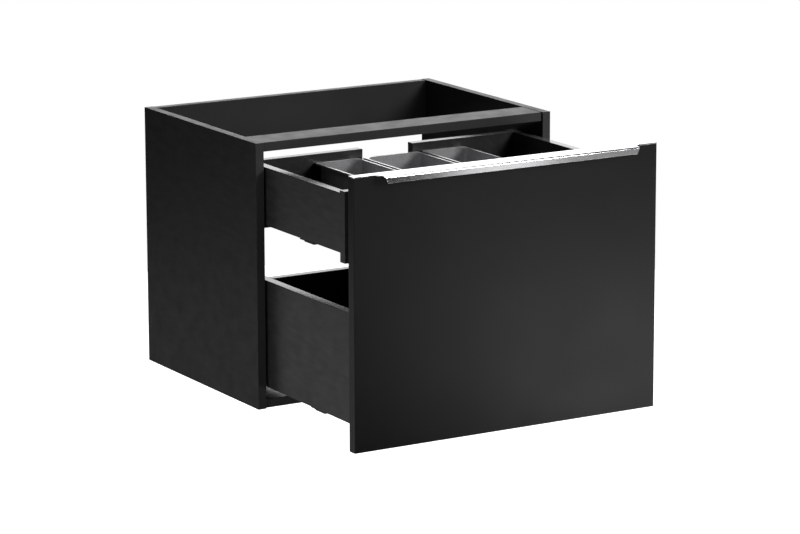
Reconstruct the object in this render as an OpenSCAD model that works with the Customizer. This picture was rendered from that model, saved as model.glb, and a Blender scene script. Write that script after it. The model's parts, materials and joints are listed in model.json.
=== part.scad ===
// Wall-hung base cabinet with one tall front. The front is fixed to a deep lower drawer.
// An inner drawer behind it carries three open bins and has a pipe notch in its back wall.
// Millimetres. X runs to the right, Y to the wall and Z up.
// The origin is midway between the two wall-fixing holes, on the plane of the wall.
// The drawers are drawn pulled out, by lower_pull and upper_pull.

/* [Carcass] */
// Outside width of the carcass
carcass_w = 600; // [560:10:800]
// Depth of the side panels
carcass_d = 420; // [410:5:480]
// Height of the side panels
carcass_h = 470; // [465:1:500]
// Thickness of the carcass and drawer boards
board_t = 16; // [16:1:18]
// Depth of the two flat front rails
rail_d = 65; // [60:1:90]
// Height of the upright back rail
back_rail_h = 100; // [60:5:110]
// Distance that the front rails stand back from the side panels' front edges
rail_setback = 3.5; // [2:0.5:6]
// Distance of the rails' free faces from the side panels' edges
rail_inset = 0.5; // [0:0.1:1]
// Height of the wall-fixing holes above the carcass bottom
fixing_h = 325; // [310:5:330]

/* [Front] */
// Thickness of the outer front
front_t = 18; // [16:1:22]
// Height of the outer front, without the edge pull
front_h = 465; // [440:1:467]
// Gap between the closed front and the carcass
front_gap = 1; // [1:0.5:3]
// Length of the edge pull's lip
lip_l = 504; // [200:2:520]
// Distance that the lip stands in front of the outer front
lip_out = 21; // [12:1:30]
// Height of the lip, from the top of the edge pull
lip_h = 12; // [8:1:20]
// Sheet thickness of the edge pull
pull_t = 2; // [1.5:0.5:3]

/* [Drawers] */
// Distance that the lower drawer is drawn pulled out
lower_pull = 315; // [0:5:350]
// Distance that the upper drawer is drawn pulled out
upper_pull = 272; // [0:4:300]
// Bottom edge of the lower drawer's sides above the carcass bottom
lower_z = 37; // [30:1:60]
// Height of the lower drawer's sides
lower_h = 190; // [120:1:200]
// Bottom edge of the upper drawer's sides above the carcass bottom
upper_z = 324; // [300:1:328]
// Height of the upper drawer's sides
upper_h = 102; // [80:1:102]
// Gap between a drawer side and the carcass side
side_gap = 5; // [5:0.5:8]
// Width of the pipe notch in the upper drawer's back wall
notch_w = 102; // [60:1:140]
// Depth of the pipe notch, from the top edge
notch_h = 62; // [30:1:70]

/* [Bins] */
// Width of the two outer bins
outer_bin_w = 89; // [70:1:110]
// Width of the middle bin
middle_bin_w = 114; // [80:1:150]
// Front-to-back length of the bins
bin_l = 250; // [150:5:280]
// Height of the bins
bin_h = 66; // [50:1:75]
// Clear gap between neighbouring bins
bin_gap = 7; // [2:0.5:8]
// Sideways offset of the row of bins
bin_offset = 4; // [-20:1:20]

/* [Runners] */
// Length of the cabinet profile
runner_l = 350; // [340:5:360]
// Share of the drawer's travel that the middle profile makes
middle_share = 0.65; // [0.5:0.01:0.65]
// Sheet thickness of the runner profiles
sheet_t = 1.5; // [1:0.1:1.5]

/* [Hidden] */
$fn = 48;

// Colours
board_colour = [0.10, 0.10, 0.105];
metal_colour = [0.72, 0.73, 0.75];
steel_colour = [0.55, 0.56, 0.58];
plastic_colour = [0.16, 0.16, 0.17];
bin_colour = [0.42, 0.43, 0.44];
dowel_colour = [0.76, 0.62, 0.42];

// Carcass
inner_x = carcass_w / 2 - board_t;
rail_top_z = carcass_h - rail_inset;
flat_rail_zs = [rail_inset, rail_top_z - board_t];
back_rail_z = rail_top_z - back_rail_h;
back_rail_y = carcass_d - board_t;

// Joinery: fit gap, depths in the board's face and in its end, and the cam fastener
fit_gap = 0.05;
dowel_r = 4;
dowel_face_depth = 10;
dowel_end_depth = 20;
cam_r = 7.5;
cam_h = 12.5;
cam_from_end = 34;
bolt_r = 3;
bolt_thread_r = 2.5;
dowel_inset = 13;

// Screws
screw_r = 2;
screw_head_r = 3.5;
screw_head_h = 2;
flat_head_r = 3.2;
flat_head_h = 1;
screw_depth = 11;

// Drawers: outer face of the sides, and the bottom board in its groove
drawer_x = inner_x - side_gap;
drawer_in_x = drawer_x - board_t;
bottom_up = 13;
bottom_t = 8;
groove_depth = 6;
side_tail = 10;
dowel_zs_from_bottom = 50;
dowel_zs_from_top = 20;

// Lower drawer, front to back, at its drawn place
front_back_y = -front_gap - lower_pull;
lower_side_y = front_back_y + board_t;
lower_back_y = lower_side_y + 329;

// Upper drawer, front to back, at its drawn place
upper_closed_y = 4;
upper_side_y = upper_closed_y + board_t - upper_pull;
upper_back_y = upper_side_y + 333;
upper_front_z = 308;
upper_front_h = 122;

// Runner profiles. u is the distance from the carcass side's inner face,
// and w the height from the bottom edge of the drawer's side.
wall_w = [-8, 28];
floor_w = -8;
rib_u = 25;
lip_u = 55.5;
lip_w = 1.5;
roller_r = 1.7;
roller_gap = 3.5;
middle_u = [27, 55];
middle_w = floor_w + sheet_t + roller_gap;
middle_l = 330;
drawer_u = [33, 49];
drawer_w = middle_w + sheet_t + roller_gap;
hook_w = bottom_up + bottom_t + 6;
hook_l = 8;
hook_r = 3;
runner_clearance = 1;
lower_runner_y = board_t - front_gap + runner_clearance;
upper_runner_y = upper_closed_y + board_t + runner_clearance;
screw_w = 18;
screw_ys = [37, 261];
cap_u = 9;
cap_l = 48;
cap_w = -5;
cap_tail_l = 16;
cap_tail_step = 1.4;
cap_top_w = -1.8;
cage_t = 1;
outer_cage_y = 115;
outer_cage_l = 100;
inner_cage_y = 86;
inner_cage_l = 150;
rollers_per_cage = 4;

// Front locking clips under the drawer bottoms
clip_u = 60;
clip_size = [24, 60, 3.5];
clip_w = bottom_up - clip_size[2];
clip_screw_u = clip_u + 19;
clip_screw_ys = [12, 54];
clip_screw_l = 6;
pin_u = clip_u + clip_size[0] / 2;
pin_r = 2;
pin_from_front = 45;
pin_gap = 0.06;
lever_t = 4;
lever_w = clip_w - flat_head_h - lever_t - 0.5;
lever_swing_y = 6;

// Edge pull
pull_back_h = 25;
pull_back_l = 540;
pull_screw_xs = [-240, -80, 80, 240];
sweep_r = 15;
sweep_steps = 10;
lip_lean = 6;

// Bins
bin_wall = 1.8;
bin_rim = 4;
bin_rim_h = 4;
bin_rim_r = 6;
bin_inner_r = 20;
bin_back_y = upper_back_y - board_t - 1;
bin_floor_z = upper_z + bottom_up + bottom_t;
bin_step = (middle_bin_w + outer_bin_w) / 2 + bin_gap;

// ---------------------------------------------------------------- helpers

// Places a child drawn from the carcass's front bottom edge into the wall frame
module at_wall() {
    translate([0, -carcass_d, -fixing_h]) children();
}

module box(x, y, z) {
    translate([x[0], y[0], z[0]]) cube([x[1] - x[0], y[1] - y[0], z[1] - z[0]]);
}

// A child drawn on the left, and its mirror image on the right
module both_sides() {
    children();
    mirror([1, 0, 0]) children();
}

module on_right() {
    mirror([1, 0, 0]) children();
}

// Runner coordinates of the left runner: u, y and w from the drawer side's bottom edge
module from_side(z) {
    translate([-inner_x, 0, z]) children();
}

module rod_x(x, y, z, r) {
    translate([x[0], y, z]) rotate([0, 90, 0]) cylinder(r = r, h = x[1] - x[0]);
}

module rod_y(x, y, z, r) {
    translate([x, y[0], z]) rotate([-90, 0, 0]) cylinder(r = r, h = y[1] - y[0]);
}

// Flat rounded rectangle, centred in X, with its back edge on Y = 0
module round_rect(w, l, r) {
    translate([-w / 2, -l + r]) square([w, l - 2 * r]);
    translate([-w / 2 + r, -l]) square([w - 2 * r, l]);
    for (x = [-w / 2 + r, w / 2 - r], y = [-r, -l + r]) translate([x, y]) circle(r = r);
}

// ---------------------------------------------------------------- carcass

// Y and Z of each dowel and each cam fastener, on both ends of the three rails
dowel_points = concat(
    [for (z = flat_rail_zs, y = [dowel_inset, rail_d - dowel_inset])
        [rail_setback + y, z + board_t / 2]],
    [for (z = [dowel_inset, back_rail_h - dowel_inset])
        [back_rail_y + board_t / 2, back_rail_z + z]]
);
flat_cam_points = [for (z = flat_rail_zs) [rail_setback + rail_d / 2, z + board_t / 2]];
back_cam_point = [back_rail_y + board_t / 2, back_rail_z + back_rail_h / 2];
cam_points = concat(flat_cam_points, [back_cam_point]);

// Y and Z of the runner screws and of the wall-bracket screws in a side panel
runner_screw_points = concat(
    [for (y = screw_ys) [lower_runner_y + y, lower_z + screw_w]],
    [for (y = screw_ys) [upper_runner_y + y, upper_z + screw_w]]
);
bracket_size = [28, 40, 50];
bracket_t = 2.5;
bracket_hole_r = 4.25;
bracket_screw_points = [for (z = [-15, 15]) [carcass_d - 26, fixing_h + z]];

module carcass_dowel_rods(gap) {
    for (p = dowel_points)
        rod_x([-inner_x - dowel_face_depth - gap, -inner_x + dowel_end_depth + gap], p[0], p[1],
            dowel_r + gap - fit_gap);
}

module side_panel() {
    difference() {
        box([-carcass_w / 2, -inner_x], [0, carcass_d], [0, carcass_h]);
        carcass_dowel_rods(fit_gap);
        for (p = cam_points)
            rod_x([-inner_x - screw_depth, -inner_x + 1], p[0], p[1], bolt_thread_r + fit_gap);
        for (p = concat(runner_screw_points, bracket_screw_points))
            rod_x([-inner_x - screw_depth, -inner_x + 1], p[0], p[1], screw_r + fit_gap);
    }
}

module side_panel_left() {
    at_wall() color(board_colour) side_panel();
}

module side_panel_right() {
    at_wall() color(board_colour) on_right() side_panel();
}

module flat_rail(z) {
    difference() {
        box([-inner_x, inner_x], [rail_setback, rail_setback + rail_d], [z, z + board_t]);
        both_sides() {
            carcass_dowel_rods(fit_gap);
            for (p = flat_cam_points) {
                rod_x([-inner_x - 1, -inner_x + cam_from_end], p[0], p[1], bolt_r + fit_gap);
                translate([-inner_x + cam_from_end, p[0], p[1] - board_t / 2 - 1])
                    cylinder(r = cam_r, h = cam_h + 1);
            }
        }
    }
}

module bottom_front_rail() {
    at_wall() color(board_colour) flat_rail(flat_rail_zs[0]);
}

module top_front_rail() {
    at_wall() color(board_colour) flat_rail(flat_rail_zs[1]);
}

module back_top_rail() {
    at_wall() color(board_colour) difference() {
        box([-inner_x, inner_x], [back_rail_y, carcass_d], [back_rail_z, rail_top_z]);
        both_sides() {
            carcass_dowel_rods(fit_gap);
            rod_x([-inner_x - 1, -inner_x + cam_from_end], back_cam_point[0], back_cam_point[1],
                bolt_r + fit_gap);
            rod_y(-inner_x + cam_from_end, [carcass_d - cam_h, carcass_d + 1], back_cam_point[1], cam_r);
        }
    }
}

module carcass_dowels() {
    at_wall() color(dowel_colour) both_sides() carcass_dowel_rods(0);
}

// Cam housing with its screwdriver cross, standing on Z = 0 with the cross below
module cam_housing() {
    difference() {
        cylinder(r = cam_r - fit_gap, h = cam_h - fit_gap);
        for (a = [0, 90]) rotate([0, 0, a]) translate([-4, -0.6, -1]) cube([8, 1.2, 3.5]);
    }
}

module cam_housings() {
    at_wall() color(steel_colour) both_sides() {
        for (p = flat_cam_points)
            translate([-inner_x + cam_from_end, p[0], p[1] - board_t / 2]) cam_housing();
        translate([-inner_x + cam_from_end, carcass_d, back_cam_point[1]])
            rotate([90, 0, 0]) cam_housing();
    }
}

module cam_bolts() {
    at_wall() color(steel_colour) both_sides() for (p = cam_points) {
        rod_x([-inner_x - screw_depth + 0.5, -inner_x], p[0], p[1], bolt_thread_r);
        rod_x([-inner_x, -inner_x + cam_from_end - cam_r], p[0], p[1], bolt_r);
    }
}

module wall_brackets() {
    at_wall() color(steel_colour) both_sides() difference() {
        union() {
            box([-inner_x, -inner_x + bracket_t], [carcass_d - bracket_size[1], carcass_d],
                [fixing_h - bracket_size[2] / 2, fixing_h + bracket_size[2] / 2]);
            box([-inner_x, -inner_x + bracket_size[0]], [carcass_d - bracket_t, carcass_d],
                [fixing_h - bracket_size[2] / 2, fixing_h + bracket_size[2] / 2]);
        }
        rod_y(-inner_x + bracket_size[0] / 2 + bracket_t, [carcass_d - 5, carcass_d + 1], fixing_h,
            bracket_hole_r);
        for (p = bracket_screw_points)
            rod_x([-inner_x - 1, -inner_x + 5], p[0], p[1], screw_r + fit_gap);
    }
}

// Pan-head screw driven from the inside into a side panel, through sheet of thickness t
module side_screw(p, t) {
    rod_x([-inner_x - screw_depth + 0.5, -inner_x + t], p[0], p[1], screw_r);
    rod_x([-inner_x + t, -inner_x + t + screw_head_h], p[0], p[1], screw_head_r);
}

module wall_bracket_screws() {
    at_wall() color(metal_colour) both_sides() for (p = bracket_screw_points) side_screw(p, bracket_t);
}

module runner_screws() {
    at_wall() color(metal_colour) both_sides() for (p = runner_screw_points) side_screw(p, sheet_t);
}

// ---------------------------------------------------------------- runners

// Fixed profile, drawn from its front end at Y = 0: a wall flange, a floor and two guide lips
module cabinet_profile() {
    difference() {
        union() {
            box([0, sheet_t], [0, runner_l], wall_w);
            box([0, lip_u + sheet_t], [0, runner_l], [floor_w, floor_w + sheet_t]);
            box([lip_u, lip_u + sheet_t], [0, runner_l], [floor_w, lip_w]);
            box([lip_u - 2.5, lip_u + sheet_t], [0, runner_l], [lip_w - sheet_t, lip_w]);
            box([rib_u, rib_u + sheet_t], [cap_l + 6, runner_l], [floor_w, lip_w]);
            box([rib_u, rib_u + 4], [cap_l + 6, runner_l], [lip_w - sheet_t, lip_w]);
        }
        for (y = screw_ys) rod_x([-1, 5], y, screw_w, screw_r + fit_gap);
    }
}

// Sliding channel between the fixed profile and the drawer profile
module middle_profile() {
    box(middle_u, [0, middle_l], [middle_w, middle_w + sheet_t]);
    for (side = [0, 1]) {
        web_u = side == 0 ? middle_u[0] + 3.5 : middle_u[1] - 3.5 - sheet_t;
        lip = side == 0 ? [web_u, web_u + 4] : [web_u + sheet_t - 4, web_u + sheet_t];
        box([web_u, web_u + sheet_t], [0, middle_l], [middle_w, middle_w + 12.5]);
        box(lip, [0, middle_l], [middle_w + 11, middle_w + 11 + sheet_t]);
    }
}

// Channel under the drawer bottom, of length l, with the rear hook that holds the back wall
module drawer_profile(l) {
    web_u = [drawer_u[0] + 3, drawer_u[1] - 3];
    box(drawer_u, [0, l], [drawer_w, drawer_w + sheet_t]);
    box([web_u[0], web_u[0] + sheet_t], [0, l], [drawer_w, bottom_up]);
    box([web_u[1] - sheet_t, web_u[1]], [0, l], [drawer_w, bottom_up]);
    box([drawer_u[0] - 7, web_u[0] + sheet_t], [0, l], [bottom_up - sheet_t, bottom_up]);
    box([web_u[1] - sheet_t, drawer_u[1] + 7], [0, l], [bottom_up - sheet_t, bottom_up]);
    box(web_u, [l, l + sheet_t], [drawer_w, hook_w + 5]);
    rod_y((web_u[0] + web_u[1]) / 2, [l - hook_l, l + sheet_t], hook_w, hook_r);
}

// Moulded piece on the middle profile's front end, with a shoe that shows under the drawer side
module end_cap() {
    block_l = cap_l - cap_tail_l;
    box([cap_u, middle_u[0] + 23], [0, block_l], [cap_w, middle_w]);
    box([cap_u, middle_u[0]], [0, block_l], [middle_w, cap_top_w]);
    box([cap_u, cap_u + 12], [block_l, cap_l], [cap_w + cap_tail_step, cap_top_w]);
}

// Nylon strip with pockets and rollers. u is its width, l its length and w the rollers' height
module roller_cage(u, l, w) {
    pitch = l / rollers_per_cage;
    roller_u = [u[0] + 2, u[1] - 2];
    difference() {
        box(u, [0, l], [w - cage_t / 2, w + cage_t / 2]);
        for (i = [0 : rollers_per_cage - 1])
            translate([0, (i + 0.5) * pitch, 0])
                box([roller_u[0] - 0.3, roller_u[1] + 0.3], [-roller_r - 0.4, roller_r + 0.4],
                    [w - 1, w + 1]);
    }
    for (i = [0 : rollers_per_cage - 1]) rod_x(roller_u, (i + 0.5) * pitch, w, roller_r);
}

module outer_cage() {
    roller_cage([middle_u[0] + 4, middle_u[1] - 4], outer_cage_l, floor_w + sheet_t + roller_gap / 2);
}

module inner_cage() {
    roller_cage([drawer_u[0], drawer_u[1]], inner_cage_l, middle_w + sheet_t + roller_gap / 2);
}

// Places of the moving profiles and cages at the drawn pull of each drawer
function middle_y(runner_y, pull) = runner_y - middle_share * pull;
function outer_cage_at(runner_y, pull) = runner_y + outer_cage_y - middle_share / 2 * pull;
function inner_cage_at(runner_y, pull) = runner_y + inner_cage_y - (1 + middle_share) / 2 * pull;

module lower_cabinet_profile_left() {
    at_wall() color(steel_colour) from_side(lower_z) translate([0, lower_runner_y, 0]) cabinet_profile();
}

module lower_cabinet_profile_right() {
    at_wall() color(steel_colour) on_right() from_side(lower_z) translate([0, lower_runner_y, 0])
        cabinet_profile();
}

module upper_cabinet_profile_left() {
    at_wall() color(steel_colour) from_side(upper_z) translate([0, upper_runner_y, 0]) cabinet_profile();
}

module upper_cabinet_profile_right() {
    at_wall() color(steel_colour) on_right() from_side(upper_z) translate([0, upper_runner_y, 0])
        cabinet_profile();
}

// Sealed soft-close cylinders, lying in the fixed profiles behind the end caps' reach
damper_r = 2.3;
damper_u = 14;
damper_y = [235, 335];

module dampers() {
    at_wall() color(plastic_colour) both_sides()
        for (at = [[lower_z, lower_runner_y], [upper_z, upper_runner_y]])
            from_side(at[0]) translate([0, at[1], 0])
                rod_y(damper_u, damper_y, floor_w + sheet_t + damper_r, damper_r);
}

module lower_middle_profile_left() {
    at_wall() color(steel_colour) from_side(lower_z)
        translate([0, middle_y(lower_runner_y, lower_pull), 0]) middle_profile();
}

module lower_middle_profile_right() {
    at_wall() color(steel_colour) on_right() from_side(lower_z)
        translate([0, middle_y(lower_runner_y, lower_pull), 0]) middle_profile();
}

module lower_profile_end_caps() {
    at_wall() color(plastic_colour) both_sides() from_side(lower_z)
        translate([0, middle_y(lower_runner_y, lower_pull), 0]) end_cap();
}

module upper_middle_profile_left() {
    at_wall() color(steel_colour) from_side(upper_z)
        translate([0, middle_y(upper_runner_y, upper_pull), 0]) middle_profile();
}

module upper_middle_profile_right() {
    at_wall() color(steel_colour) on_right() from_side(upper_z)
        translate([0, middle_y(upper_runner_y, upper_pull), 0]) middle_profile();
}

module upper_profile_end_caps() {
    at_wall() color(plastic_colour) both_sides() from_side(upper_z)
        translate([0, middle_y(upper_runner_y, upper_pull), 0]) end_cap();
}

module lower_outer_roller_cages() {
    at_wall() color("ivory") both_sides() from_side(lower_z)
        translate([0, outer_cage_at(lower_runner_y, lower_pull), 0]) outer_cage();
}

module lower_inner_roller_cages() {
    at_wall() color("ivory") both_sides() from_side(lower_z)
        translate([0, inner_cage_at(lower_runner_y, lower_pull), 0]) inner_cage();
}

module upper_outer_roller_cages() {
    at_wall() color("ivory") both_sides() from_side(upper_z)
        translate([0, outer_cage_at(upper_runner_y, upper_pull), 0]) outer_cage();
}

module upper_inner_roller_cages() {
    at_wall() color("ivory") both_sides() from_side(upper_z)
        translate([0, inner_cage_at(upper_runner_y, upper_pull), 0]) inner_cage();
}

// ---------------------------------------------------------------- drawer boxes

// Dowels of a drawer: d = [front end of the sides, rear face of the back wall, z, height]
module drawer_dowel_rods(d, gap) {
    r = dowel_r + gap - fit_gap;
    for (z = [d[2] + dowel_zs_from_bottom, d[2] + d[3] - dowel_zs_from_top]) {
        rod_x([-drawer_in_x - dowel_face_depth - gap, -drawer_in_x + dowel_end_depth + gap],
            d[1] - board_t / 2, z, r);
        rod_y(-drawer_x + board_t / 2, [d[0] - dowel_face_depth - gap, d[0] + dowel_end_depth + gap], z, r);
    }
}

module drawer_side(d) {
    difference() {
        box([-drawer_x, -drawer_in_x], [d[0], d[1] + side_tail], [d[2], d[2] + d[3]]);
        box([-drawer_in_x - groove_depth, -drawer_in_x + 1], [d[0] - 1, d[1]],
            [d[2] + bottom_up, d[2] + bottom_up + bottom_t]);
        drawer_dowel_rods(d, fit_gap);
    }
}

module drawer_back(d) {
    difference() {
        box([-drawer_in_x, drawer_in_x], [d[1] - board_t, d[1]],
            [d[2] + bottom_up + bottom_t, d[2] + d[3]]);
        both_sides() {
            drawer_dowel_rods(d, fit_gap);
            rod_y(-inner_x + (drawer_u[0] + drawer_u[1]) / 2, [d[1] - hook_l - 1, d[1] + 1],
                d[2] + hook_w, hook_r + fit_gap);
        }
    }
}

module drawer_bottom(d) {
    difference() {
        box([-drawer_in_x - groove_depth, drawer_in_x + groove_depth], [d[0] - groove_depth, d[1]],
            [d[2] + bottom_up, d[2] + bottom_up + bottom_t]);
        both_sides() from_side(d[2]) for (y = clip_screw_ys)
            translate([clip_screw_u, d[0] + y, bottom_up - 1])
                cylinder(r = screw_r + fit_gap, h = clip_screw_l + 1);
    }
}

// Front board of a drawer, from height z up to z + h
module drawer_front_board(d, z, h) {
    difference() {
        box([-drawer_x, drawer_x], [d[0] - board_t, d[0]], [z, z + h]);
        box([-drawer_in_x - groove_depth, drawer_in_x + groove_depth], [d[0] - groove_depth, d[0] + 1],
            [d[2] + bottom_up, d[2] + bottom_up + bottom_t]);
        both_sides() drawer_dowel_rods(d, fit_gap);
    }
}

lower_drawer = [lower_side_y, lower_back_y, lower_z, lower_h];
upper_drawer = [upper_side_y, upper_back_y, upper_z, upper_h];

module lower_drawer_side_left() {
    at_wall() color(board_colour) drawer_side(lower_drawer);
}

module lower_drawer_side_right() {
    at_wall() color(board_colour) on_right() drawer_side(lower_drawer);
}

module lower_drawer_back() {
    at_wall() color(board_colour) drawer_back(lower_drawer);
}

module lower_drawer_bottom() {
    at_wall() color(board_colour) drawer_bottom(lower_drawer);
}

module lower_drawer_subfront() {
    at_wall() color(board_colour) difference() {
        drawer_front_board(lower_drawer, lower_z, lower_h);
        for (x = front_screw_xs, z = front_screw_zs)
            rod_y(x, [lower_side_y - board_t - 1, lower_side_y + 1], z, screw_r + fit_gap);
    }
}

module lower_drawer_dowels() {
    at_wall() color(dowel_colour) both_sides() drawer_dowel_rods(lower_drawer, 0);
}

module lower_drawer_profile_left() {
    at_wall() color(steel_colour) from_side(lower_z) translate([0, lower_side_y, 0])
        drawer_profile(lower_back_y - lower_side_y);
}

module lower_drawer_profile_right() {
    at_wall() color(steel_colour) on_right() from_side(lower_z) translate([0, lower_side_y, 0])
        drawer_profile(lower_back_y - lower_side_y);
}

module upper_drawer_side_left() {
    at_wall() color(board_colour) drawer_side(upper_drawer);
}

module upper_drawer_side_right() {
    at_wall() color(board_colour) on_right() drawer_side(upper_drawer);
}

module upper_drawer_back() {
    at_wall() color(board_colour) difference() {
        drawer_back(upper_drawer);
        box([-notch_w / 2, notch_w / 2], [upper_back_y - board_t - 1, upper_back_y + 1],
            [upper_z + upper_h - notch_h, upper_z + upper_h + 1]);
    }
}

module upper_drawer_bottom() {
    at_wall() color(board_colour) drawer_bottom(upper_drawer);
}

module upper_drawer_front() {
    at_wall() color(board_colour) drawer_front_board(upper_drawer, upper_front_z, upper_front_h);
}

module upper_drawer_dowels() {
    at_wall() color(dowel_colour) both_sides() drawer_dowel_rods(upper_drawer, 0);
}

module upper_drawer_profile_left() {
    at_wall() color(steel_colour) from_side(upper_z) translate([0, upper_side_y, 0])
        drawer_profile(upper_back_y - upper_side_y);
}

module upper_drawer_profile_right() {
    at_wall() color(steel_colour) on_right() from_side(upper_z) translate([0, upper_side_y, 0])
        drawer_profile(upper_back_y - upper_side_y);
}

// ---------------------------------------------------------------- locking clips

// Base plate under the drawer bottom with the lever's pivot pin, drawn from the front board's back
module clip_body() {
    difference() {
        box([clip_u, clip_u + clip_size[0]], [0, clip_size[1]], [clip_w, bottom_up]);
        for (y = clip_screw_ys)
            translate([clip_screw_u, y, clip_w - 1]) cylinder(r = screw_r + fit_gap, h = 6);
    }
    translate([pin_u, pin_from_front, lever_w - 1]) cylinder(r = pin_r, h = clip_w - lever_w + 1);
}

// Screws that go up through the base plate into the drawer bottom
module clip_screws() {
    for (y = clip_screw_ys) translate([clip_screw_u, y, clip_w]) {
        translate([0, 0, -flat_head_h]) cylinder(r = flat_head_r, h = flat_head_h);
        cylinder(r = screw_r, h = clip_size[2] + clip_screw_l - 0.5);
    }
}

// Squeeze lever: round eye on the pin, an arm, and a hook towards the drawer profile
module release_lever() {
    translate([0, 0, lever_w]) difference() {
        union() {
            translate([pin_u, pin_from_front, 0]) cylinder(r = 5.5, h = lever_t);
            box([pin_u - 4, pin_u + 2], [lever_swing_y, pin_from_front], [0, lever_t]);
            box([clip_u - 2.5, pin_u - 4], [lever_swing_y, 2 * lever_swing_y], [0, lever_t]);
        }
        translate([pin_u, pin_from_front, -1]) cylinder(r = pin_r + pin_gap, h = lever_t + 2);
    }
}

module lower_clip_bodies() {
    at_wall() color(plastic_colour) both_sides() from_side(lower_z) translate([0, lower_side_y, 0])
        clip_body();
}

module lower_clip_screws() {
    at_wall() color(metal_colour) both_sides() from_side(lower_z) translate([0, lower_side_y, 0])
        clip_screws();
}

module lower_release_lever_left() {
    at_wall() color("darkorange") from_side(lower_z) translate([0, lower_side_y, 0]) release_lever();
}

module lower_release_lever_right() {
    at_wall() color("darkorange") on_right() from_side(lower_z) translate([0, lower_side_y, 0])
        release_lever();
}

module upper_clip_bodies() {
    at_wall() color(plastic_colour) both_sides() from_side(upper_z) translate([0, upper_side_y, 0])
        clip_body();
}

module upper_clip_screws() {
    at_wall() color(metal_colour) both_sides() from_side(upper_z) translate([0, upper_side_y, 0])
        clip_screws();
}

module upper_release_lever_left() {
    at_wall() color("darkorange") from_side(upper_z) translate([0, upper_side_y, 0]) release_lever();
}

module upper_release_lever_right() {
    at_wall() color("darkorange") on_right() from_side(upper_z) translate([0, upper_side_y, 0])
        release_lever();
}

// ---------------------------------------------------------------- outer front

front_screw_xs = [-200, 200];
front_screw_zs = [lower_z + 60, lower_z + 150];
front_screw_l = 12;
pull_screw_z = front_h - 18;
pull_screw_depth = 10;

module outer_front() {
    at_wall() color(board_colour) difference() {
        box([-carcass_w / 2, carcass_w / 2], [front_back_y - front_t, front_back_y], [0, front_h]);
        for (x = front_screw_xs, z = front_screw_zs)
            rod_y(x, [front_back_y - front_screw_l - 0.5, front_back_y + 1], z, screw_r + fit_gap);
        for (x = pull_screw_xs)
            rod_y(x, [front_back_y - pull_screw_depth - 0.5, front_back_y + 1], pull_screw_z,
                screw_r + fit_gap);
    }
}

module front_fixing_screws() {
    at_wall() color(metal_colour) for (x = front_screw_xs, z = front_screw_zs) {
        rod_y(x, [front_back_y - front_screw_l, lower_side_y], z, screw_r);
        rod_y(x, [lower_side_y, lower_side_y + screw_head_h], z, screw_head_r);
    }
}

// Half outline of the pull's top plate: straight edge, hollow quarter round, lip edge
half_plate = concat(
    [[carcass_w / 2, 0], [carcass_w / 2, -front_t]],
    [for (i = [0 : sweep_steps]) [
        lip_l / 2 + sweep_r * (1 - sin(90 * i / sweep_steps)),
        -front_t - sweep_r * (1 - cos(90 * i / sweep_steps))
    ]],
    [[lip_l / 2, -front_t - lip_out]]
);
plate_outline = concat(
    half_plate,
    [for (i = [len(half_plate) - 1 : -1 : 0]) [-half_plate[i][0], half_plate[i][1]]]
);

// Lip outline, seen from the front: its ends lean inwards towards the bottom edge
lip_outline = [
    [-lip_l / 2, 0], [lip_l / 2, 0], [lip_l / 2 - lip_lean, -lip_h], [-lip_l / 2 + lip_lean, -lip_h]
];

module edge_pull() {
    at_wall() color(metal_colour) translate([0, front_back_y, front_h]) difference() {
        union() {
            linear_extrude(pull_t) polygon(plate_outline);
            translate([0, -front_t - lip_out + pull_t, pull_t]) rotate([90, 0, 0])
                linear_extrude(pull_t) polygon(lip_outline);
            box([-pull_back_l / 2, pull_back_l / 2], [0, pull_t], [pull_t - pull_back_h, pull_t]);
        }
        for (x = pull_screw_xs) rod_y(x, [-1, pull_t + 1], pull_screw_z - front_h, screw_r + fit_gap);
    }
}

module edge_pull_screws() {
    at_wall() color(metal_colour) translate([0, front_back_y, pull_screw_z]) for (x = pull_screw_xs) {
        rod_y(x, [-pull_screw_depth, pull_t], 0, screw_r);
        rod_y(x, [pull_t, pull_t + flat_head_h], 0, flat_head_r);
    }
}

// Soft discs on the back of the front that meet the side panels' edges
pad_r = 4;
pad_t = 0.9;
pad_zs = [30, 430];

module buffer_pads() {
    at_wall() color("silver") both_sides() for (z = pad_zs)
        rod_y(-carcass_w / 2 + board_t / 2, [front_back_y, front_back_y + pad_t], z, pad_r);
}

// ---------------------------------------------------------------- bins

// Bin of width w, with the back edge of its rim on Y = 0 and its bottom on Z = 0
module bin(w) {
    inset = bin_rim - bin_wall;
    difference() {
        union() {
            translate([0, -inset, 0]) linear_extrude(bin_h)
                round_rect(w - 2 * inset, bin_l - 2 * inset, bin_inner_r + bin_wall);
            translate([0, 0, bin_h - bin_rim_h]) linear_extrude(bin_rim_h)
                round_rect(w, bin_l, bin_rim_r);
        }
        translate([0, -bin_rim, bin_wall]) linear_extrude(bin_h)
            round_rect(w - 2 * bin_rim, bin_l - 2 * bin_rim, bin_inner_r);
    }
}

module bin_left() {
    at_wall() color(bin_colour) translate([bin_offset - bin_step, bin_back_y, bin_floor_z])
        bin(outer_bin_w);
}

module bin_middle() {
    at_wall() color(bin_colour) translate([bin_offset, bin_back_y, bin_floor_z]) bin(middle_bin_w);
}

module bin_right() {
    at_wall() color(bin_colour) translate([bin_offset + bin_step, bin_back_y, bin_floor_z])
        bin(outer_bin_w);
}

// ---------------------------------------------------------------- assembly

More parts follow.
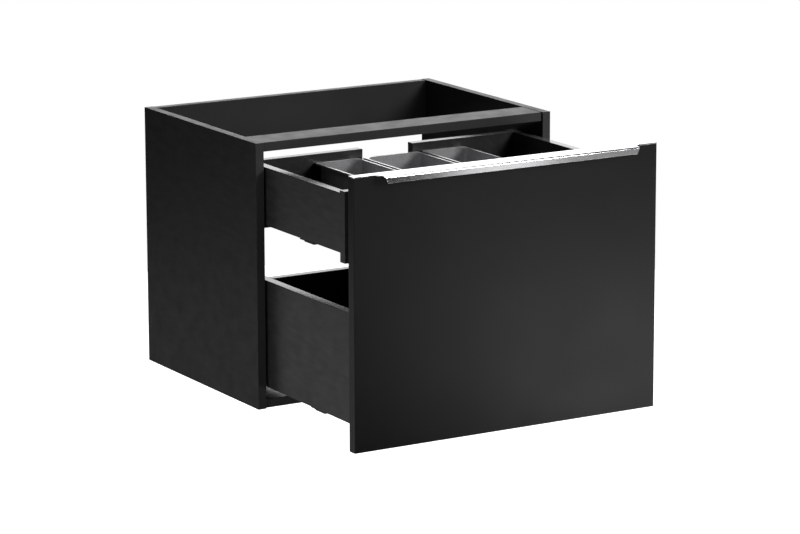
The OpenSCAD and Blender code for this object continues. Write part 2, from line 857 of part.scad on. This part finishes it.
side_panel_left();
side_panel_right();
top_front_rail();
bottom_front_rail();
back_top_rail();
carcass_dowels();
cam_housings();
cam_bolts();
wall_brackets();
wall_bracket_screws();
lower_cabinet_profile_left();
lower_cabinet_profile_right();
upper_cabinet_profile_left();
upper_cabinet_profile_right();
runner_screws();
dampers();
lower_middle_profile_left();
lower_middle_profile_right();
lower_profile_end_caps();
upper_middle_profile_left();
upper_middle_profile_right();
upper_profile_end_caps();
lower_outer_roller_cages();
lower_inner_roller_cages();
upper_outer_roller_cages();
upper_inner_roller_cages();
outer_front();
edge_pull();
edge_pull_screws();
buffer_pads();
front_fixing_screws();
lower_drawer_side_left();
lower_drawer_side_right();
lower_drawer_back();
lower_drawer_bottom();
lower_drawer_subfront();
lower_drawer_dowels();
lower_drawer_profile_left();
lower_drawer_profile_right();
lower_clip_bodies();
lower_clip_screws();
lower_release_lever_left();
lower_release_lever_right();
upper_drawer_side_left();
upper_drawer_side_right();
upper_drawer_back();
upper_drawer_bottom();
upper_drawer_front();
upper_drawer_dowels();
upper_drawer_profile_left();
upper_drawer_profile_right();
upper_clip_bodies();
upper_clip_screws();
upper_release_lever_left();
upper_release_lever_right();
bin_left();
bin_middle();
bin_right();
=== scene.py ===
"""Looks of the wall-hung drawer cabinet: finishes, bent and turned metal pieces, light and camera."""

import json
import math

import bmesh
import bpy
from mathutils import Euler, Matrix, Vector


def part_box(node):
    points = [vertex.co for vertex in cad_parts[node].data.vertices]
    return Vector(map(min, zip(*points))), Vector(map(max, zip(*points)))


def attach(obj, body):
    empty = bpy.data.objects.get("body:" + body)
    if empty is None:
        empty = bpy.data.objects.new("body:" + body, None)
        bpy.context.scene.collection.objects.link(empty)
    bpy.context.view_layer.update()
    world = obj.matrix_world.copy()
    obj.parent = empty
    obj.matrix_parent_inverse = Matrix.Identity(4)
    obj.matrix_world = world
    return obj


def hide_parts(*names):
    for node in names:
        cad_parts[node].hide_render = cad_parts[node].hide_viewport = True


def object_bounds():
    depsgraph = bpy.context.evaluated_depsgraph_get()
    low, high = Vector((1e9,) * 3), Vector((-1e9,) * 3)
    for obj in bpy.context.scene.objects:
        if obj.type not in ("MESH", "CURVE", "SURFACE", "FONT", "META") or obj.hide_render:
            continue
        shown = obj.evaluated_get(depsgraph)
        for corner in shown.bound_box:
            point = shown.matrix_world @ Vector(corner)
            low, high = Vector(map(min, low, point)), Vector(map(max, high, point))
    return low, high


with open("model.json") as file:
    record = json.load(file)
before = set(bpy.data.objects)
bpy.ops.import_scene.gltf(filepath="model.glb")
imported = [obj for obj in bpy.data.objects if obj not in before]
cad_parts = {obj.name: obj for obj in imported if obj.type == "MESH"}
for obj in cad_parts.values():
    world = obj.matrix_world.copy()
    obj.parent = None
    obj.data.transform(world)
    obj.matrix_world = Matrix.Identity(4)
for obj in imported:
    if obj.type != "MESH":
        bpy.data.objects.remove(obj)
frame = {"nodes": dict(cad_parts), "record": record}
cad_box = [list(corner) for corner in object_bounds()]
nodes = frame["nodes"]
record = frame["record"]
body_of_node = {node: body for body, names in record["behaviour"]["bodies"].items() for node in names}
slot_of_node = {part["node"]: part["material_slot"] for part in record["subparts"]}
scene = bpy.context.scene
MM = 0.001
X, Y, Z = 0, 1, 2

# ---------------------------------------------------------------- camera

CAMERA_PLACE = (-3.1798, -5.7527, 1.2792)
CAMERA_YAW = 30.698       # degrees from +Y towards +X
CAMERA_PITCH = 12.573     # degrees below the horizon
CAMERA_ROLL = -0.153      # degrees about the line of sight
CAMERA_LENS = 162.31      # focal length, in millimetres like the sensor's width
CAMERA_SENSOR = 36
CAMERA_REACH = 100        # how far it sees, in metres


def make_camera():
    camera = bpy.data.objects.new("camera", bpy.data.cameras.new("camera"))
    scene.collection.objects.link(camera)
    scene.camera = camera
    camera.data.sensor_width = CAMERA_SENSOR
    camera.data.lens = CAMERA_LENS
    camera.data.clip_end = CAMERA_REACH
    camera.location = CAMERA_PLACE
    aim = Euler((math.radians(90 - CAMERA_PITCH), 0, math.radians(-CAMERA_YAW))).to_matrix()
    camera.rotation_euler = (aim @ Matrix.Rotation(math.radians(CAMERA_ROLL), 3, "Z")).to_euler()


make_camera()

# ---------------------------------------------------------------- light and stage

FLOOR_DROP = 0.38         # a wall-hung cabinet's usual height above the floor
FLOOR_REACH = 2.7         # radius of the floor disc
FLOOR_GLOW = 1.0          # the floor's own light, which makes it as white as the backdrop
FLOOR_LIGHT_UP = 0.01     # height of the glowing patches above the floor
BACKDROP = 1.0            # brightness of the room where the camera sees it
AMBIENT = 0.01            # brightness of the room as it lights the cabinet
low_corner, high_corner = (Vector(corner) for corner in cad_box)
centre = (low_corner + high_corner) / 2
floor_z = low_corner.z - FLOOR_DROP


def mesh_object(name, build):
    """A new object whose mesh is what build(bm) makes."""
    bm = bmesh.new()
    build(bm)
    mesh = bpy.data.meshes.new(name)
    bm.to_mesh(mesh)
    bm.free()
    piece = bpy.data.objects.new(name, mesh)
    scene.collection.objects.link(piece)
    return piece


def grey(value):
    """A grey as an opaque colour."""
    return (value, value, value, 1)


def area_light(name, place, target, size, power):
    """A rectangular lamp that the camera doesn't see. Its size is in metres and its power in watts."""
    light = bpy.data.lights.new(name, "AREA")
    light.shape = "RECTANGLE"
    light.size, light.size_y = size
    light.energy = power
    lamp = bpy.data.objects.new(name, light)
    scene.collection.objects.link(lamp)
    lamp.location = place
    lamp.rotation_euler = (Vector(place) - Vector(target)).to_track_quat("Z", "Y").to_euler()
    lamp.visible_camera = False


def floor_light(name, place, size, power):
    """A glowing patch just above the floor that faces up. The boards and the metal reflect it."""
    x, y = place
    start = (x, y, floor_z + FLOOR_LIGHT_UP)
    area_light(name, start, (x, y, start[Z] + 1), size, power)


def make_floor():
    """A white disc that shows to the camera alone: it neither lights the cabinet nor mirrors in it."""
    def build(bm):
        bmesh.ops.create_circle(bm, cap_ends=True, segments=96, radius=FLOOR_REACH)

    floor = mesh_object("floor", build)
    floor.location = (centre.x, centre.y, floor_z)
    material = bpy.data.materials.new("floor_pale")
    material.use_nodes = True
    shader = material.node_tree.nodes["Principled BSDF"]
    shader.inputs["Base Color"].default_value = grey(0.9)
    shader.inputs["Roughness"].default_value = 0.9
    shader.inputs["Specular IOR Level"].default_value = 0.1
    shader.inputs["Emission Color"].default_value = grey(1)
    shader.inputs["Emission Strength"].default_value = FLOOR_GLOW
    floor.data.materials.append(material)
    floor.visible_glossy = False
    floor.visible_diffuse = False


def make_world():
    """The backdrop that the camera sees is white, and everything else is lit by a dim even room."""
    world = bpy.data.worlds.new("studio")
    world.use_nodes = True
    scene.world = world
    tree = world.node_tree
    room = tree.nodes["Background"]
    room.inputs["Color"].default_value = grey(AMBIENT)
    seen = tree.nodes.new("ShaderNodeBackground")
    seen.inputs["Color"].default_value = grey(BACKDROP)
    path = tree.nodes.new("ShaderNodeLightPath")
    mix = tree.nodes.new("ShaderNodeMixShader")
    tree.links.new(path.outputs["Is Camera Ray"], mix.inputs["Fac"])
    tree.links.new(room.outputs[0], mix.inputs[1])
    tree.links.new(seen.outputs[0], mix.inputs[2])
    tree.links.new(mix.outputs[0], tree.nodes["World Output"].inputs["Surface"])


def make_lights():
    """Ceiling, floor patches, a glow behind, a key light in front and two strips for the pull's lip."""
    area_light("ceiling_softbox", place=(0.0, -0.4, 2.3), target=(0.0, -0.4, 0.0),
               size=(2.6, 2.6), power=24)
    floor_light("patch_back_left", place=(-1.6, 0.5), size=(2.0, 3.4), power=11)
    floor_light("patch_near_right", place=(1.25, -2.1), size=(0.9, 0.9), power=13)
    floor_light("patch_far_right", place=(2.15, -2.1), size=(0.9, 0.9), power=7)
    floor_light("patch_left", place=(-1.6, -1.2), size=(1.4, 1.6), power=24)
    area_light("backdrop_glow", place=(1.35, 1.9, 0.75), target=(0.0, -0.3, 0.1),
               size=(2.6, 1.5), power=24)
    area_light("key_softbox", place=(1.2, -3.0, 1.1), target=(0.0, -0.5, 0.0),
               size=(0.8, 0.8), power=44)
    area_light("lip_softbox", place=(0.93, -2.3, -0.33), target=(0.0, -0.8, 0.1),
               size=(0.2, 0.85), power=0.5)
    area_light("lip_softbox_dim", place=(1.26, -2.3, -0.33), target=(0.2, -0.8, 0.1),
               size=(0.46, 0.85), power=0.3)


scene.view_settings.view_transform = "Standard"
scene.view_settings.look = "None"
make_floor()
make_world()
make_lights()

# ---------------------------------------------------------------- finishes


class Finish:
    """A Principled material with its texture nodes, all in the object's own coordinates."""

    def __init__(self, name, colour, roughness, metallic=0.0, specular=0.5):
        self.material = bpy.data.materials.new(name)
        self.material.use_nodes = True
        self.tree = self.material.node_tree
        self.shader = self.tree.nodes["Principled BSDF"]
        self.set("Base Color", (*colour, 1))
        self.set("Roughness", roughness)
        self.set("Metallic", metallic)
        self.set("Specular IOR Level", specular)
        self.colour = colour
        self.roughness = roughness
        self.relief = None
        self.place = self.add("ShaderNodeTexCoord").outputs["Object"]

    def set(self, socket, value):
        self.shader.inputs[socket].default_value = value

    def add(self, kind, **settings):
        node = self.tree.nodes.new(kind)
        for name, value in settings.items():
            setattr(node, name, value)
        return node

    def link(self, source, target):
        self.tree.links.new(source, target)

    def stretched(self, stretch):
        """The object's coordinates, scaled along each axis."""
        mapping = self.add("ShaderNodeMapping")
        mapping.inputs["Scale"].default_value = stretch
        self.link(self.place, mapping.inputs["Vector"])
        return mapping.outputs["Vector"]

    def noise(self, size, stretch=(1, 1, 1), detail=2.0):
        """Noise whose grains are about size metres across, and longer where stretch is under 1."""
        node = self.add("ShaderNodeTexNoise")
        node.inputs["Scale"].default_value = 1 / size
        node.inputs["Detail"].default_value = detail
        self.link(self.stretched(stretch), node.inputs["Vector"])
        return node.outputs["Fac"]

    def ranged(self, source, low, high, from_low=0.3, from_high=0.7):
        """The source's span from from_low to from_high, turned into low to high."""
        node = self.add("ShaderNodeMapRange")
        node.inputs["From Min"].default_value = from_low
        node.inputs["From Max"].default_value = from_high
        node.inputs["To Min"].default_value = low
        node.inputs["To Max"].default_value = high
        self.link(source, node.inputs["Value"])
        return node.outputs["Result"]

    def mixed(self, kind, below, above, mask):
        """below where the mask is 0 and above where it is 1. Each is a value or a node's output."""
        mix = self.add("ShaderNodeMix", data_type=kind)
        for name, source in (("A", below), ("B", above)):
            if isinstance(source, bpy.types.NodeSocket):
                self.link(source, mix.inputs[name])
            else:
                mix.inputs[name].default_value = source
        self.link(mask, mix.inputs["Factor"])
        return mix.outputs["Result"]

    def vary_roughness(self, source, spread):
        """The roughness from spread below its value to spread above it."""
        varied = self.ranged(source, self.roughness - spread, self.roughness + spread)
        self.link(varied, self.shader.inputs["Roughness"])

    def vary_colour(self, source, spread):
        """The base colour from (1 - spread) to (1 + spread) times itself."""
        darker = (*[c * (1 - spread) for c in self.colour], 1)
        paler = (*[c * (1 + spread) for c in self.colour], 1)
        self.link(self.mixed("RGBA", darker, paler, self.ranged(source, 0, 1)),
                  self.shader.inputs["Base Color"])

    def facing(self, axis, sign):
        """1 on the faces that look along that object axis, and 0 elsewhere."""
        parts = self.add("ShaderNodeSeparateXYZ")
        self.link(self.add("ShaderNodeTexCoord").outputs["Normal"], parts.inputs[0])
        aligned = self.add("ShaderNodeMath", operation="MULTIPLY")
        self.link(parts.outputs[axis], aligned.inputs[0])
        aligned.inputs[1].default_value = sign
        return self.ranged(aligned.outputs[0], 0, 1, from_low=0.6, from_high=0.9)

    def where(self, mask, colour, roughness=None):
        """Another colour, and another roughness if one is given, where the mask is 1."""
        changes = [("Base Color", "RGBA", (*colour, 1))]
        if roughness is not None:
            changes.append(("Roughness", "FLOAT", roughness))
        for name, kind, value in changes:
            socket = self.shader.inputs[name]
            self.link(self.mixed(kind, socket.links[0].from_socket, value, mask), socket)

    def bump(self, source, depth):
        """Relief of depth metres. Each call lies on the one before."""
        node = self.add("ShaderNodeBump")
        node.inputs["Distance"].default_value = depth
        self.link(source, node.inputs["Height"])
        if self.relief is not None:
            self.link(self.relief, node.inputs["Normal"])
        self.relief = node.outputs["Normal"]
        self.link(self.relief, self.shader.inputs["Normal"])


def melamine(name, colour, roughness, specular):
    """Melamine-faced board: a fine pearl texture over faint long streaks."""
    finish = Finish(name, colour, roughness, specular=specular)
    finish.vary_colour(finish.noise(9 * MM, stretch=(1, 0.25, 1), detail=4), 0.25)
    finish.vary_roughness(finish.noise(30 * MM), 0.04)
    finish.bump(finish.noise(0.7 * MM, detail=3), 0.02 * MM)
    return finish


def black_board():
    """The carcass's board. Its faces that look to the front are painted paler, as painted light from the key
    lamp in front.
    """
    finish = melamine("black_board", (0.012, 0.012, 0.0125), 0.42, specular=0.22)
    # painted light: faces looking to the front (-Y) get a paler colour for the light that falls on them from
    # the front
    finish.where(finish.facing("Y", -1), colour=(0.035, 0.035, 0.036))
    return finish


def drawer_board():
    """The drawers' board: a little paler and glossier. Its upward faces are glossier still and painted much
    paler, a painted sheen for the backdrop they reflect.
    """
    finish = melamine("drawer_board", (0.025, 0.025, 0.0255), 0.36, specular=0.34)
    # painted sheen: upward faces get a much paler colour in place of the reflected backdrop, and a lower
    # roughness
    finish.where(finish.facing("Z", 1), colour=(0.12, 0.12, 0.12), roughness=0.14)
    return finish


def front_board():
    """Lacquered front: smoother, with a barely visible orange peel."""
    finish = Finish("front_board", (0.003, 0.003, 0.0032), 0.33, specular=0.25)
    finish.vary_colour(finish.noise(60 * MM), 0.12)
    finish.vary_roughness(finish.noise(120 * MM), 0.02)
    finish.bump(finish.noise(2.5 * MM, detail=3), 0.01 * MM)
    return finish


def brushed_metal(name, colour, roughness, stretch=(1, 1, 1)):
    """Metal with a fine brushed grain, which stretch draws out into lines."""
    finish = Finish(name, colour, roughness, metallic=1.0)
    lines = finish.noise(0.35 * MM, stretch=stretch, detail=3)
    finish.vary_roughness(lines, 0.05)
    finish.bump(lines, 0.004 * MM)
    return finish


def zinc_steel():
    """Zinc-plated sheet steel, with faint blotches."""
    finish = Finish("runner_steel", (0.55, 0.56, 0.58), 0.36, metallic=1.0)
    finish.vary_colour(finish.noise(7 * MM, detail=5), 0.14)
    finish.vary_roughness(finish.noise(4 * MM, detail=3), 0.08)
    finish.bump(finish.noise(0.8 * MM), 0.006 * MM)
    return finish


def moulded(name, colour, roughness, metallic=0.0):
    """Moulded plastic or cast metal with a fine spark-eroded grain."""
    finish = Finish(name, colour, roughness, metallic=metallic)
    finish.vary_colour(finish.noise(15 * MM), 0.06)
    finish.vary_roughness(finish.noise(3 * MM, detail=3), 0.04)
    finish.bump(finish.noise(0.5 * MM), 0.012 * MM)
    return finish


def beech():
    """Beech with its grain along X."""
    along_grain = (0.06, 1, 1)
    finish = Finish("dowel", (0.55, 0.39, 0.22), 0.6)
    finish.vary_colour(finish.noise(1.2 * MM, stretch=along_grain, detail=5), 0.28)
    finish.bump(finish.noise(0.8 * MM, stretch=along_grain), 0.05 * MM)
    return finish


def bin_plastic():
    """Silver-grey moulding. Its upward faces, the rim's top among them, are polished and painted near white
    as a painted highlight.
    """
    finish = moulded("bin_grey", (0.45, 0.45, 0.46), 0.3, metallic=0.35)
    # painted highlight: upward faces get a near-white colour for the light on the rims, and a lower
    # roughness
    finish.where(finish.facing("Z", 1), colour=(0.95, 0.95, 0.95), roughness=0.16)
    return finish


finishes = {
    "black_board": black_board(),
    "drawer_board": drawer_board(),
    "front_board": front_board(),
    "pull_aluminium": brushed_metal("pull_aluminium", (0.80, 0.80, 0.81), 0.14, stretch=(0.02, 1, 1)),
    "bin_grey": bin_plastic(),
    "screw_steel": brushed_metal("screw_steel", (0.66, 0.66, 0.68), 0.26),
    "cast_fittings": moulded("cast_fittings", (0.42, 0.42, 0.44), 0.45, metallic=1.0),
    "nylon": moulded("nylon", (0.78, 0.76, 0.70), 0.45),
    "lever_grey": moulded("lever_grey", (0.24, 0.24, 0.25), 0.42),
    "black_plastic": moulded("black_plastic", (0.012, 0.012, 0.013), 0.4),
    "runner_steel": zinc_steel(),
    "clear_pad": moulded("clear_pad", (0.55, 0.55, 0.57), 0.3),
    "dowel": beech(),
}


def paint(piece, slot):
    """Gives a piece the finish of a record slot, in all its material slots."""
    material = finishes[slot].material
    if not piece.data.materials:
        piece.data.materials.append(material)
    for entry in piece.material_slots:
        entry.link = "OBJECT"
        entry.material = material


# ---------------------------------------------------------------- edges and shading

FLAT_ANGLE = math.radians(1)          # faces that turn less than this are one flat face
SHARP_ANGLE = math.radians(40)        # edges that turn more than this are sharp
WELD_REACH = 0.002 * MM
BOARD_EDGE = 0.6 * MM                 # widths of the eased edges
PLASTIC_EDGE = 0.4 * MM
THIN_EDGE = 0.2 * MM
PULL_EDGE = 0.35 * MM
EDGE_WIDTHS = {"black_board": BOARD_EDGE, "front_board": BOARD_EDGE, "drawer_board": BOARD_EDGE,
               "lever_grey": PLASTIC_EDGE, "black_plastic": PLASTIC_EDGE}


def shade_by_area(piece):
    """Large faces set the shading, so flat ones look flat beside rounded edges."""
    shade = piece.modifiers.new("shade", "WEIGHTED_NORMAL")
    shade.keep_sharp = False


def ease_edges(piece, width, clamp):
    """Rounds the sharp edges. A clamped edge stops where it would meet another one."""
    bevel = piece.modifiers.new("ease_edges", "BEVEL")
    bevel.width = width
    bevel.segments = 2
    bevel.limit_method = "ANGLE"
    bevel.angle_limit = SHARP_ANGLE
    bevel.use_clamp_overlap = clamp
    shade_by_area(piece)


def soften(piece, width):
    """Turns a CAD node's triangles into whole flat faces, and eases its sharp edges."""
    weld = piece.modifiers.new("weld", "WELD")
    weld.merge_threshold = WELD_REACH
    merge = piece.modifiers.new("merge_flat_faces", "DECIMATE")
    merge.decimate_type = "DISSOLVE"
    merge.angle_limit = FLAT_ANGLE
    ease_edges(piece, width, clamp=False)


def smooth(piece):
    for face in piece.data.polygons:
        face.use_smooth = True


for name, piece in nodes.items():
    paint(piece, slot_of_node[name])
    soften(piece, EDGE_WIDTHS.get(slot_of_node[name], THIN_EDGE))

# ---------------------------------------------------------------- pieces that replace CAD nodes


def stand_in(piece, node):
    """The piece takes the place of a CAD node: its body, its finish and its hidden original."""
    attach(piece, body_of_node[node])
    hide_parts(node)
    paint(piece, slot_of_node[node])


def edge_pull():
    """One bent sheet: back leaf, top plate with hollow-rounded corners, and a lip with leaning ends."""
    low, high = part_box("edge_pull")
    sheet = 2 * MM
    radius = 3 * MM                       # outside of both bends
    bend_steps = 8
    leaf_half = 270 * MM
    lip_half = 252 * MM                   # half the lip's length at its bend
    lip_lean = 6 * MM                     # how much further in its ends are at its lower edge
    lip_h = 12 * MM
    hollow = 15 * MM                      # corner between the plate's front edge and the lip
    hollow_steps = 12
    front_t = 18 * MM                     # the front board, which the plate covers
    arc = math.pi / 2 * radius
    leaf_h = high.z - low.z - radius      # the flat part, as far as the first bend
    plate_start = leaf_h + arc
    front_edge = plate_start + front_t + sheet - radius
    plate_end = plate_start + (high.y - low.y) - 2 * radius
    blank_l = plate_end + arc + lip_h - radius

    def outline():
        """Right half of the flat blank as (x, distance along the sheet)."""
        yield leaf_half, 0
        yield leaf_half, plate_start
        yield high.x, plate_start
        yield high.x, front_edge
        for i in range(hollow_steps + 1):
            turn = math.radians(90 * i / hollow_steps)
            yield lip_half + hollow * (1 - math.sin(turn)), front_edge + hollow * (1 - math.cos(turn))
        yield lip_half, plate_end
        yield lip_half - lip_lean, blank_l

    def bent(x, along):
        """Where a point of the flat blank lies on the bent sheet's outside."""
        if along < leaf_h:
            return x, high.y, low.z + along
        if along < plate_start:
            turn = (along - leaf_h) / radius
            return x, high.y - radius * (1 - math.cos(turn)), high.z - radius * (1 - math.sin(turn))
        if along < plate_end:
            return x, high.y - radius - (along - plate_start), high.z
        if along < plate_end + arc:
            turn = (along - plate_end) / radius
            return x, low.y + radius * (1 - math.sin(turn)), high.z - radius * (1 - math.cos(turn))
        return x, low.y, high.z - radius - (along - plate_end - arc)

    def build(bm):
        right = list(outline())
        corners = right + [(-x, along) for x, along in reversed(right)]
        bm.faces.new([bm.verts.new((x, along, 0)) for x, along in corners])
        for start in (leaf_h, plate_end):
            for i in range(bend_steps + 1):
                bmesh.ops.bisect_plane(bm, geom=bm.verts[:] + bm.edges[:] + bm.faces[:], dist=0.001 * MM,
                                       plane_co=(0, start + arc * i / bend_steps, 0), plane_no=(0, 1, 0))
        for vert in bm.verts:
            vert.co = bent(vert.co.x, vert.co.y)
        bmesh.ops.recalc_face_normals(bm, faces=bm.faces)
        plate = max(bm.faces, key=lambda face: face.calc_area())
        if plate.normal.z < 0:
            bmesh.ops.reverse_faces(bm, faces=bm.faces)

    pull = mesh_object("edge_pull_bent", build)
    smooth(pull)
    thicken = pull.modifiers.new("sheet", "SOLIDIFY")
    thicken.thickness = sheet
    thicken.offset = -1
    thicken.use_even_offset = True
    ease_edges(pull, PULL_EDGE, clamp=True)
    stand_in(pull, "edge_pull")


# ---------------------------------------------------------------- bins


def rounded_ring(bm, low, high, inset, radius, z, corner_steps=8):
    """Vertices of a rounded rectangle, inset from the box's sides."""
    ring = []
    for i, (x_side, y_side) in enumerate(((1, 1), (-1, 1), (-1, -1), (1, -1))):
        x = (high.x - inset - radius) if x_side > 0 else (low.x + inset + radius)
        y = (high.y - inset - radius) if y_side > 0 else (low.y + inset + radius)
        for step in range(corner_steps + 1):
            turn = math.radians(90 * (i + step / corner_steps))
            ring.append(bm.verts.new((x + radius * math.cos(turn), y + radius * math.sin(turn), z)))
    return ring


def skin(bm, rings):
    """Faces between each ring of vertices and the next. A ring of one vertex is a point on the axis."""
    steps = max(len(ring) for ring in rings)
    for below, above in zip(rings, rings[1:]):
        for i in range(steps):
            j = (i + 1) % steps
            if len(below) == 1:
                bm.faces.new((below[0], above[j], above[i]))
            elif len(above) == 1:
                bm.faces.new((below[i], below[j], above[0]))
            else:
                bm.faces.new((below[i], below[j], above[j], above[i]))


def bin_shell(name, node):
    """Thin moulded bin with drafted walls, a flat rim and a rounded floor edge."""
    low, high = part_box(node)
    wall_corner = 24          # a ring's corner radius is one of these less its inset, in millimetres
    rim_corner = 6
    # Each ring is an inset from the rim's edge and a height, in millimetres. The rings go from the
    # floor's underside up the outside, over the rim and down the inside to the floor.
    foot = [(7.0, 0), (5.4, 0.5), (4.6, 1.3), (4.2, 2.6)]
    under_rim = [(2.2, -4)]
    rim = [(0.4, -4), (0, -3.6), (0, -0.5), (0.15, -0.15), (0.5, 0)]
    lip = [(3.5, 0), (3.85, -0.15), (4.0, -0.5)]
    floor = [(5.6, 5), (6.0, 3.4), (7.0, 2.3), (8.6, 1.8)]
    # Each stretch with its corner radius and the level that its heights are measured from
    stretches = [(foot, wall_corner, low.z), (under_rim, wall_corner, high.z), (rim, rim_corner, high.z),
                 (lip, wall_corner, high.z), (floor, wall_corner, low.z)]

    def build(bm):
        rings = [rounded_ring(bm, low, high, inset * MM, (corner - inset) * MM, base + height * MM)
                 for stretch, corner, base in stretches for inset, height in stretch]
        skin(bm, rings)
        bm.faces.new(list(reversed(rings[0])))
        bm.faces.new(rings[-1])
        bmesh.ops.recalc_face_normals(bm, faces=bm.faces)

    shell = mesh_object(name, build)
    smooth(shell)
    shade_by_area(shell)
    stand_in(shell, node)


# ---------------------------------------------------------------- screws and pads

PAN_H = 2 * MM            # heights of the two kinds of screw head
FLAT_H = 1 * MM
SHANK_R = 2 * MM
SAME_PLACE = 0.01 * MM    # vertices that round to the same multiple of this are one
# Outlines from the rim to the top, in shares of the radius and of the height
HEAD_OUTLINE = ((0.97, 0), (1, 0.12), (0.97, 0.45), (0.84, 0.8), (0.6, 0.95), (0.3, 0.99), (0, 1))
PAD_OUTLINE = ((1, 0), (1, 0.35), (0.93, 0.75), (0.8, 0.95), (0.5, 1), (0, 1))


def scaled(outline, radius, height):
    """An outline in shares, at its real size."""
    return [(radius * r, height * h) for r, h in outline]


def lathe(bm, profile, steps=32):
    """Turns (radius, height) points about Z. The first and last lie on the axis."""
    rings = []
    for radius, z in profile:
        turns = [2 * math.pi * i / steps for i in range(steps if radius else 1)]
        rings.append([bm.verts.new((radius * math.cos(turn), radius * math.sin(turn), z)) for turn in turns])
    skin(bm, rings)
    bmesh.ops.recalc_face_normals(bm, faces=bm.faces)


def evaluated(piece):
    """The mesh of a piece with its modifiers applied. The piece itself is removed."""
    graph = bpy.context.evaluated_depsgraph_get()
    mesh = bpy.data.meshes.new_from_object(piece.evaluated_get(graph))
    bpy.data.objects.remove(piece)
    return mesh


def screw_mesh(head_r, head_h, shank_l):
    """Screw with a cross recess. Its head stands on Z = 0 and its shank goes down to a blunt tip."""
    recess_r = head_r * 0.62              # half the length of the cross's arms, and half their width
    recess_w = head_r * 0.14
    foot_r = head_r * 0.3                 # the same at the foot of the recess
    foot_w = recess_w * 0.8
    foot_z = head_h * 0.35
    above_head = head_h * 1.2

    def head(bm):
        shank = [(0, -shank_l), (SHANK_R, -shank_l + SHANK_R), (SHANK_R, 0)]
        lathe(bm, shank + scaled(HEAD_OUTLINE, head_r, head_h))

    def cross(bm):
        for turn in (0, math.pi / 2):
            arm = bmesh.ops.create_cube(bm, size=1)["verts"]
            for vert in arm:
                is_top = vert.co.z > 0
                long = math.copysign(recess_r if is_top else foot_r, vert.co.x)
                across = math.copysign(recess_w if is_top else foot_w, vert.co.y)
                vert.co = (long, across, above_head if is_top else foot_z)
            bmesh.ops.rotate(bm, verts=arm, matrix=Matrix.Rotation(turn, 3, "Z"))

    body = mesh_object("screw_body", head)
    cutter = mesh_object("screw_cross", cross)
    cut = body.modifiers.new("recess", "BOOLEAN")
    cut.operation = "DIFFERENCE"
    cut.solver = "EXACT"
    cut.use_self = True
    cut.object = cutter
    mesh = evaluated(body)
    bpy.data.objects.remove(cutter)
    return mesh


def islands(node):
    """(low, high) corners of each separate solid of a CAD node."""
    mesh = nodes[node].data
    places = [tuple(round(c / SAME_PLACE) for c in vert.co) for vert in mesh.vertices]
    owner = {place: place for place in places}

    def root(place):
        while owner[place] != place:
            owner[place] = owner[owner[place]]
            place = owner[place]
        return place

    for edge in mesh.edges:
        owner[root(places[edge.vertices[0]])] = root(places[edge.vertices[1]])
    groups = {}
    for vert, place in zip(mesh.vertices, places):
        groups.setdefault(root(place), []).append(vert.co)
    for corners in groups.values():
        yield (Vector([min(co[i] for co in corners) for i in range(3)]),
               Vector([max(co[i] for co in corners) for i in range(3)]))


def move_new(bm, count_before, place, turn):
    """Turns and moves the vertices that came since there were count_before of them."""
    bm.verts.ensure_lookup_table()
    matrix = Matrix.Translation(place) @ turn.to_4x4()
    bmesh.ops.transform(bm, matrix=matrix, verts=bm.verts[count_before:])


def screws(name, node, axis, head_h, side=None):
    """One piece for all screws of a node. side is the way their heads face along the axis, 1 or -1.

    Without it they face the middle of the cabinet.
    """
    boxes = list(islands(node))
    low, high = boxes[0]
    across = (axis + 1) % 3
    head_r = (high[across] - low[across]) / 2
    template = screw_mesh(head_r, head_h, high[axis] - low[axis] - head_h)

    def build(bm):
        for low, high in boxes:
            middle = (low + high) / 2
            faces = side or (1 if middle[axis] < 0 else -1)
            direction = Vector([faces if i == axis else 0 for i in range(3)])
            place = middle.copy()
            place[axis] = (high[axis] if faces > 0 else low[axis]) - faces * head_h
            count_before = len(bm.verts)
            bm.from_mesh(template)
            move_new(bm, count_before, place, direction.to_track_quat("Z", "Y").to_matrix())

    piece = mesh_object(name, build)
    smooth(piece)
    shade_by_area(piece)
    edge = piece.modifiers.new("split", "EDGE_SPLIT")
    edge.split_angle = SHARP_ANGLE
    stand_in(piece, node)


def pads():
    """Soft discs with a rounded edge, standing on the back of the outer front."""
    def build(bm):
        for low, high in islands("buffer_pads"):
            count_before = len(bm.verts)
            lathe(bm, [(0, 0)] + scaled(PAD_OUTLINE, (high.x - low.x) / 2, high.y - low.y))
            place = Vector(((low.x + high.x) / 2, low.y, (low.z + high.z) / 2))
            move_new(bm, count_before, place, Matrix.Rotation(-math.pi / 2, 3, "X"))

    piece = mesh_object("buffer_pad_domes", build)
    smooth(piece)
    stand_in(piece, "buffer_pads")


edge_pull()
for where in ("left", "middle", "right"):
    bin_shell("bin_shell_" + where, "bin_" + where)
screws("bracket_pan_screws", "wall_bracket_screws", X, PAN_H)
screws("runner_pan_screws", "runner_screws", X, PAN_H)
screws("front_pan_screws", "front_fixing_screws", Y, PAN_H, side=1)
screws("pull_flat_screws", "edge_pull_screws", Y, FLAT_H, side=1)
screws("lower_clip_flat_screws", "lower_clip_screws", Z, FLAT_H, side=-1)
screws("upper_clip_flat_screws", "upper_clip_screws", Z, FLAT_H, side=-1)
pads()
